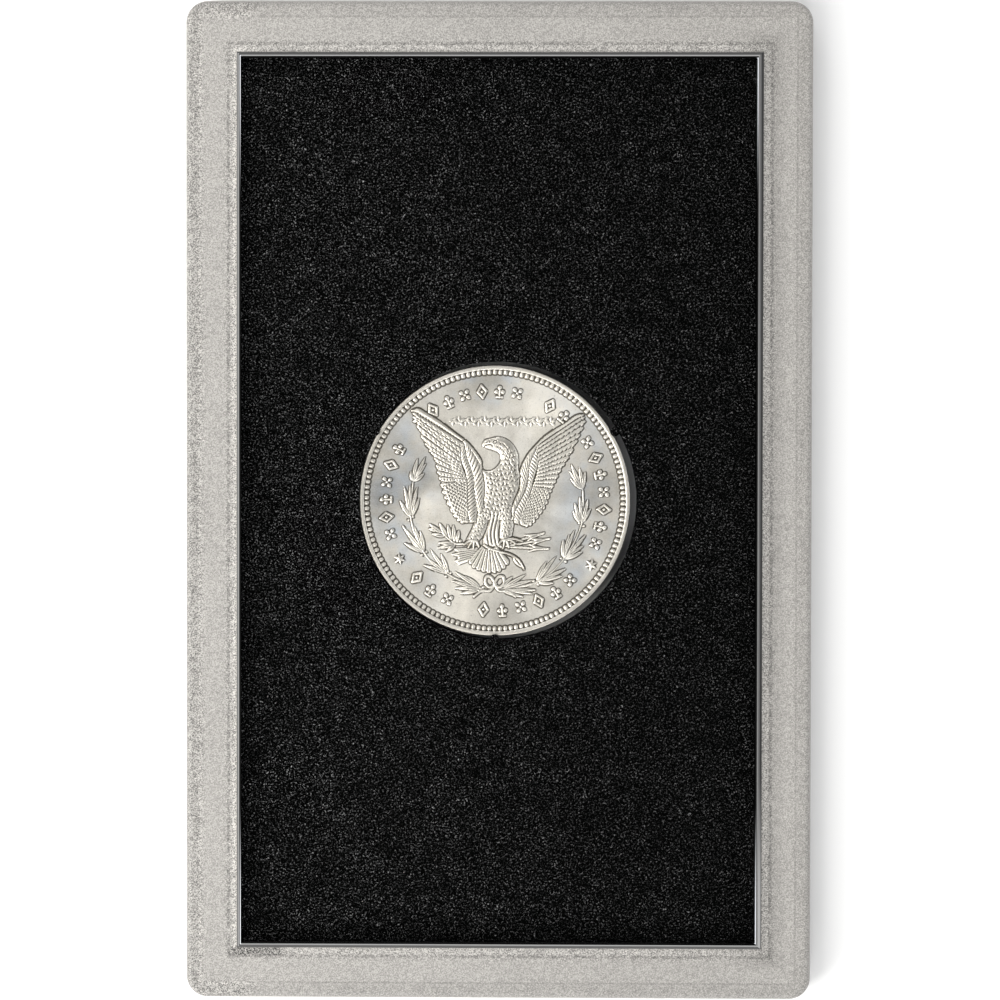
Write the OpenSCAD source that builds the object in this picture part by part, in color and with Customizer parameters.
// Sealed display slab for one large silver coin, lying on its front face with its back up.
// Two clear shells are welded together round a black insert, and the coin lies in the
// insert's round hole, kept in by three small lugs.
// Frame: the origin is the middle of the front face. Seen from the back, +X points to the
// right and +Y to the top of the slab. +Z runs from the front face to the back face.

/* [Case] */
// Width of the slab
slab_w = 87.6; // [72:0.1:110]
// Length of the slab
slab_l = 139.7; // [110:0.1:180]
// Thickness of the frosted border, both shells together
border_t = 7; // [6:0.1:9]
// Radius of the four corners of the outline
corner_r = 3; // [2.5:0.1:6]
// Radius of the rounded outer edges
edge_r = 0.8; // [0.3:0.1:1.2]
// Chamfer along the seam between the shells
seam_chamfer = 0.2; // [0.05:0.05:0.4]

/* [Window] */
// Width of the frosted border round the window
border_w = 7; // [5.5:0.1:10]
// Height of the polished window above the border
window_rise = 0.5; // [0.2:0.1:1]
// Width of the bevel round the window
window_bevel = 0.4; // [0.1:0.05:0.8]

/* [Pocket] */
// How far the pocket for the insert goes out under the border
pocket_margin = 1.2; // [0.6:0.1:2]
// Radius of the pocket's corners
pocket_r = 1; // [0.5:0.1:2]
// Play between the insert and each window, along Z
insert_play = 0.05; // [0.02:0.01:0.2]

/* [Weld] */
// Distance from the outline to the welded tongue
tongue_inset = 1; // [0.6:0.1:1.4]
// Width of the tongue
tongue_w = 1.2; // [0.6:0.1:1.8]
// Height of the tongue above the seam
tongue_h = 0.8; // [0.4:0.1:1.4]
// Room left round the tongue in its groove
weld_gap = 0.05; // [0.02:0.01:0.15]

/* [Insert] */
// Gap between the insert's edge and the flat part of the window
insert_gap = 0.3; // [0.1:0.05:0.6]
// How far the insert sits off centre in its pocket, along X
insert_shift = -0.2; // [-0.25:0.05:0.25]
// Radius of the insert's corners
insert_r = 0.2; // [0.1:0.05:1]
// Length of the locating tab at the insert's lower left corner
tab_w = 6.2; // [3:0.1:12]
// Gap between the locating tab and the pocket's wall
tab_gap = 0.15; // [0.05:0.05:0.4]
// Width of the moulding gate's stub on the insert's upper edge
gate_w = 1; // [0.6:0.1:1.6]
// How far the gate's stub stands out
gate_out = 0.35; // [0.1:0.05:0.5]
// Distance of the gate's stub from the slab's middle, along X
gate_x = 21; // [5:0.5:25]

/* [Coin] */
// Diameter of the coin
coin_d = 38.1; // [30:0.1:46]
// Thickness of the coin at its rim
coin_t = 2.4; // [1.8:0.1:3.2]
// Width of the raised rim
rim_w = 0.9; // [0.4:0.1:1.5]
// Depth of the coin's field below its rim
field_depth = 0.3; // [0.1:0.05:0.5]
// Chamfer on the coin's outer edges
coin_chamfer = 0.12; // [0.05:0.01:0.3]

/* [Hole and lugs] */
// Distance of the hole's centre from the slab's middle, along X
hole_x = -0.2; // [-1:0.1:1]
// Gap all round between a coin in the middle of the hole and the hole's wall
hole_gap = 0.45; // [0.2:0.05:1]
// Gap left where the coin rests against the left side of the hole
rest_gap = 0.05; // [0.05:0.05:0.2]
// Thickness of each lug
lug_t = 0.5; // [0.3:0.05:1]
// Width of each lug
lug_w = 1.3; // [0.8:0.1:2.5]
// How far each lug reaches over the coin's rim
lug_bite = 0.25; // [0.1:0.05:0.6]
// Number of lugs
lug_count = 3; // [3:1:6]
// Angle of the first lug, counted from +X
lug_start = 30; // [0:5:90]
// Play between the coin and what lies over and under it, along Z
coin_play = 0.05; // [0.02:0.01:0.15]

/* [Hidden] */
$fn = 96;
eps = 0.01;
half_t = border_t / 2 + window_rise;
full_t = 2 * half_t;
window_w = slab_w - 2 * border_w;
window_l = slab_l - 2 * border_w;
pocket_w = window_w + 2 * pocket_margin;
pocket_l = window_l + 2 * pocket_margin;
insert_w = window_w - 2 * (window_bevel + insert_gap);
insert_l = window_l - 2 * (window_bevel + insert_gap);
insert_t = coin_t + lug_t + 2 * coin_play;
pocket_d = insert_t / 2 + insert_play;
coin_r = coin_d / 2;
hole_r = coin_r + hole_gap;
coin_x = hole_x - (hole_gap - rest_gap);
lug_tip_r = coin_r - lug_bite;
coin_z = half_t - insert_t / 2 + coin_play;
tab_out = pocket_l / 2 - insert_l / 2 - tab_gap;

// A rectangle with round corners, centred on the origin.
module round_rect(w, l, r) {
    square([w - 2 * r, l], center = true);
    square([w, l - 2 * r], center = true);
    for (x = [-1, 1], y = [-1, 1])
        translate([x * (w / 2 - r), y * (l / 2 - r)])
            circle(r);
}

// The edge of a shell in section: out is +X, and the seam is at the top.
module edge_section() {
    polygon([
        [0, window_rise],
        [corner_r - edge_r, window_rise],
        [corner_r, window_rise + edge_r],
        [corner_r, half_t - seam_chamfer],
        [corner_r - seam_chamfer, half_t],
        [0, half_t]
    ]);
    translate([corner_r - edge_r, window_rise + edge_r])
        circle(edge_r);
}

// One straight side of a shell, in its place on the +X side.
module side_bar(w, length) {
    translate([w / 2 - corner_r, length / 2, 0])
        rotate([90, 0, 0])
            linear_extrude(length)
                edge_section();
}

// The border of a shell as a full plate, with round corners and rounded edges.
module border_plate() {
    inner_w = slab_w - 2 * corner_r;
    inner_l = slab_l - 2 * corner_r;
    translate([-inner_w / 2, -inner_l / 2, window_rise])
        cube([inner_w, inner_l, half_t - window_rise]);
    for (turn = [0, 180])
        rotate(turn) {
            side_bar(slab_w, inner_l);
            rotate(90)
                side_bar(slab_l, inner_w);
        }
    for (x = [-1, 1], y = [-1, 1])
        translate([x * inner_w / 2, y * inner_l / 2, 0])
            rotate_extrude()
                edge_section();
}

// The section of the raised window, from its flat face down into the border plate.
module window_section(w) {
    polygon([
        [-w / 2 + window_bevel, 0],
        [w / 2 - window_bevel, 0],
        [w / 2, window_rise],
        [w / 2, half_t],
        [-w / 2, half_t],
        [-w / 2, window_rise]
    ]);
}

// The raised window with its bevelled edges.
module window_block() {
    intersection() {
        translate([0, window_l / 2, 0])
            rotate([90, 0, 0])
                linear_extrude(window_l)
                    window_section(window_w);
        translate([-window_w / 2, 0, 0])
            rotate([90, 0, 90])
                linear_extrude(window_w)
                    window_section(window_l);
    }
}

// A ring that follows the outline, inset by `inset`.
module outline_ring(inset, w) {
    outer_r = max(corner_r - inset, 0.6);
    inner_r = max(outer_r - w, 0.3);
    difference() {
        round_rect(slab_w - 2 * inset, slab_l - 2 * inset, outer_r);
        round_rect(slab_w - 2 * (inset + w), slab_l - 2 * (inset + w), inner_r);
    }
}

// A shell without its weld features, window down and seam at the top.
module plain_shell() {
    difference() {
        union() {
            border_plate();
            window_block();
        }
        translate([0, 0, half_t - pocket_d])
            linear_extrude(pocket_d + eps)
                round_rect(pocket_w, pocket_l, pocket_r);
    }
}

// The lower shell, with the tongue that the weld melts into the groove.
module front_shell() {
    color([0.8, 0.79, 0.77, 0.6]) {
        plain_shell();
        translate([0, 0, half_t - eps])
            linear_extrude(tongue_h + eps)
                outline_ring(tongue_inset, tongue_w);
    }
}

// The upper shell, with the groove for the tongue.
module rear_shell() {
    color([0.83, 0.82, 0.8, 0.6])
        translate([0, 0, full_t])
            mirror([0, 0, 1])
                difference() {
                    plain_shell();
                    translate([0, 0, half_t - tongue_h - weld_gap])
                        linear_extrude(tongue_h + weld_gap + eps)
                            outline_ring(tongue_inset - weld_gap, tongue_w + 2 * weld_gap);
                }
}

// A lug at the back face of the hole, with a round tip.
module lug(angle) {
    tip_centre = lug_tip_r + lug_w / 2;
    rotate(angle)
        translate([0, 0, half_t + insert_t / 2 - lug_t]) {
            translate([tip_centre, 0, 0])
                cylinder(h = lug_t, d = lug_w);
            translate([tip_centre, -lug_w / 2, 0])
                cube([hole_r + lug_w - tip_centre, lug_w, lug_t]);
        }
}

// The black insert, with the hole for the coin, its lugs, a locating tab and the gate's stub.
module insert() {
    color([0.05, 0.05, 0.05]) {
        difference() {
            union() {
                translate([insert_shift, 0, half_t - insert_t / 2])
                    linear_extrude(insert_t)
                        round_rect(insert_w, insert_l, insert_r);
                translate([insert_shift - insert_w / 2, -insert_l / 2 - tab_out, half_t - insert_t / 2])
                    cube([tab_w, tab_out + 1, insert_t]);
                translate([gate_x, insert_l / 2 + gate_out - gate_w / 2, half_t - gate_w])
                    cylinder(h = insert_t / 2 + gate_w - eps, d = gate_w);
            }
            translate([hole_x, 0, half_t - insert_t / 2 - eps])
                cylinder(h = insert_t + 2 * eps, r = hole_r);
        }
        translate([coin_x, 0, 0])
            for (i = [0 : lug_count - 1])
                lug(lug_start + i * 360 / lug_count);
    }
}

// Half of the coin's section, from its axis to its edge.
module coin_section() {
    polygon([
        [0, field_depth],
        [coin_r - rim_w, field_depth],
        [coin_r - rim_w, 0],
        [coin_r - coin_chamfer, 0],
        [coin_r, coin_chamfer],
        [coin_r, coin_t - coin_chamfer],
        [coin_r - coin_chamfer, coin_t],
        [coin_r - rim_w, coin_t],
        [coin_r - rim_w, coin_t - field_depth],
        [0, coin_t - field_depth]
    ]);
}

// The coin, with a raised rim on both faces.
module coin() {
    color([0.85, 0.84, 0.8])
        translate([coin_x, 0, coin_z])
            rotate_extrude()
                coin_section();
}

front_shell();
rear_shell();
insert();
coin();
